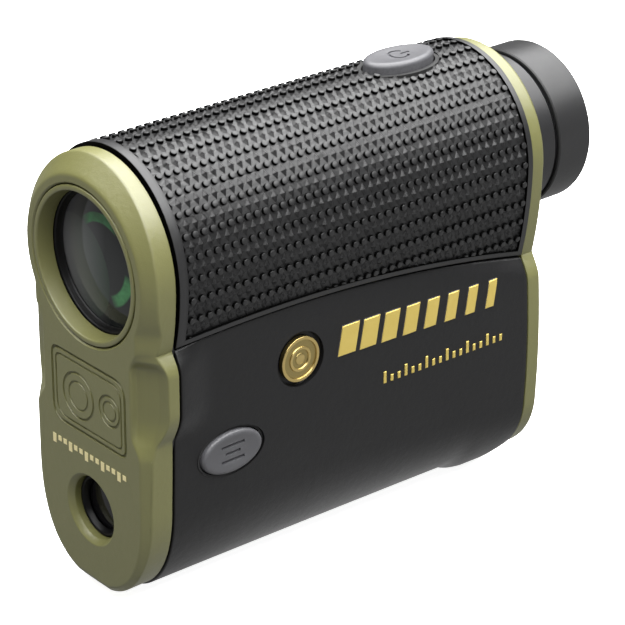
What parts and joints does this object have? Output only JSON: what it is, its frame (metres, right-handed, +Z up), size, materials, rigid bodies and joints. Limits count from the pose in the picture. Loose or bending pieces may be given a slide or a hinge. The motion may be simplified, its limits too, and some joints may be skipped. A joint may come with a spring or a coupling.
{
  "type": "laser rangefinder",
  "caption": "Hand-held laser rangefinder: textured barrel monocular over a tapered body, with power and mode buttons, turning eyepiece and a screw-out battery cap.",
  "frame": {"origin": "under the middle of the overall length, on the centre plane, at the level of the flat heel under the rear end", "axes": "-Y out of the objective, +Y out of the eyepiece, +Z up through the power button, +X towards the side with the mode button"},
  "size_m": [0.036, 0.097, 0.0774],
  "materials": {
    "olive_paint": "satin, fine grain",
    "charcoal_plastic": "matte, fine grain",
    "black_rubber": "moulded grip texture",
    "seal_rubber": "matte",
    "grey_rubber": "matte silicone",
    "black_metal": "black anodised",
    "gold_metal": "satin gold",
    "steel": "plain",
    "optical_glass": "green coated",
    "window_glass": "infrared filter",
    "board": "solder mask",
    "chip": "moulded package",
    "flex_film": "amber film",
    "cell_wrap": "printed wrap, plain"
  },
  "bodies": {
    "housing": {"battery_spring": "steel", "battery_tube": "charcoal_plastic", "display_panel": "optical_glass", "eyepiece_neck": "black_metal", "eyepiece_o_ring": "seal_rubber", "flex_cable": "flex_film", "front_cover": "olive_paint", "front_gasket": "seal_rubber", "grip_armor": "black_rubber", "half_penta_prism": "optical_glass", "lanyard_loop": "steel", "laser_collimator_lens": "optical_glass", "laser_diode": "steel", "laser_diode_board": "board", "laser_tube": "black_metal", "laser_window": "window_glass", "laser_window_retainer": "black_metal", "main_circuit_board": "board", "main_housing": "charcoal_plastic", "mode_button_seal": "seal_rubber", "mode_switch_body": "chip", "objective_front_lens": "optical_glass", "objective_o_ring": "seal_rubber", "objective_rear_lens": "optical_glass", "objective_retainer": "black_metal", "objective_spacer": "black_metal", "objective_trim_ring": "olive_paint", "objective_tube": "black_metal", "power_button_seal": "seal_rubber", "power_switch_board": "board", "power_switch_body": "chip", "prism_carrier": "black_metal", "processor_chip": "chip", "rear_cover": "olive_paint", "rear_cover_screw_1": "steel", "rear_cover_screw_2": "steel", "rear_cover_screw_3": "steel", "rear_cover_screw_4": "steel", "rear_gasket": "seal_rubber", "receiver_board": "board", "receiver_photodiode": "steel", "roof_prism": "optical_glass", "side_badge": "gold_metal", "tilt_sensor": "chip", "timing_chip": "chip"},
    "power_button": {"power_button": "grey_rubber"},
    "power_stem": {"power_switch_stem": "steel"},
    "mode_button": {"mode_button": "grey_rubber"},
    "mode_stem": {"mode_switch_stem": "steel"},
    "focus_ring": {"focus_ring": "black_metal", "eyecup": "black_rubber"},
    "ocular": {"ocular_cell": "black_metal", "eye_lens": "optical_glass", "field_lens": "optical_glass"},
    "battery": {"battery": "cell_wrap"},
    "battery_cap": {"battery_cap": "charcoal_plastic", "battery_cap_o_ring": "seal_rubber"}
  },
  "joints": [
    {"name": "power_press", "type": "slide", "parent": "housing", "child": "power_button", "axis": [0, 0, -1], "range_m": [0, 0.0005]},
    {"name": "power_stem_press", "type": "slide", "parent": "housing", "child": "power_stem", "axis": [0, 0, -1], "range_m": [0, 0.00035]},
    {"name": "mode_press", "type": "slide", "parent": "housing", "child": "mode_button", "axis": [-1, 0, 0], "range_m": [0, 0.0005]},
    {"name": "mode_stem_press", "type": "slide", "parent": "housing", "child": "mode_stem", "axis": [-1, 0, 0], "range_m": [0, 0.00035]},
    {"name": "focus_turn", "type": "hinge", "parent": "housing", "child": "focus_ring", "pos_m": [0, 0.0445, 0.0581], "axis": [0, 1, 0], "range_deg": [-135, 135]},
    {"name": "ocular_slide", "type": "slide", "parent": "housing", "child": "ocular", "axis": [0, 1, 0], "range_m": [-0.0012, 0.0012]},
    {"name": "battery_pull", "type": "slide", "parent": "housing", "child": "battery", "axis": [0, 1, 0], "range_m": [0, 0.034]},
    {"name": "battery_cap_turn", "type": "hinge", "parent": "battery", "child": "battery_cap", "pos_m": [0, 0.0335, 0.0221], "axis": [0, 1, 0], "range_deg": [-540, 0]}
  ],
  "couplings": [
    {"joint": "power_stem_press", "follows": "power_press", "ratio": 0.6},
    {"joint": "mode_stem_press", "follows": "mode_press", "ratio": 0.6},
    {"joint": "ocular_slide", "follows": "focus_turn", "m_per_rad": 0.00047746}
  ]
}
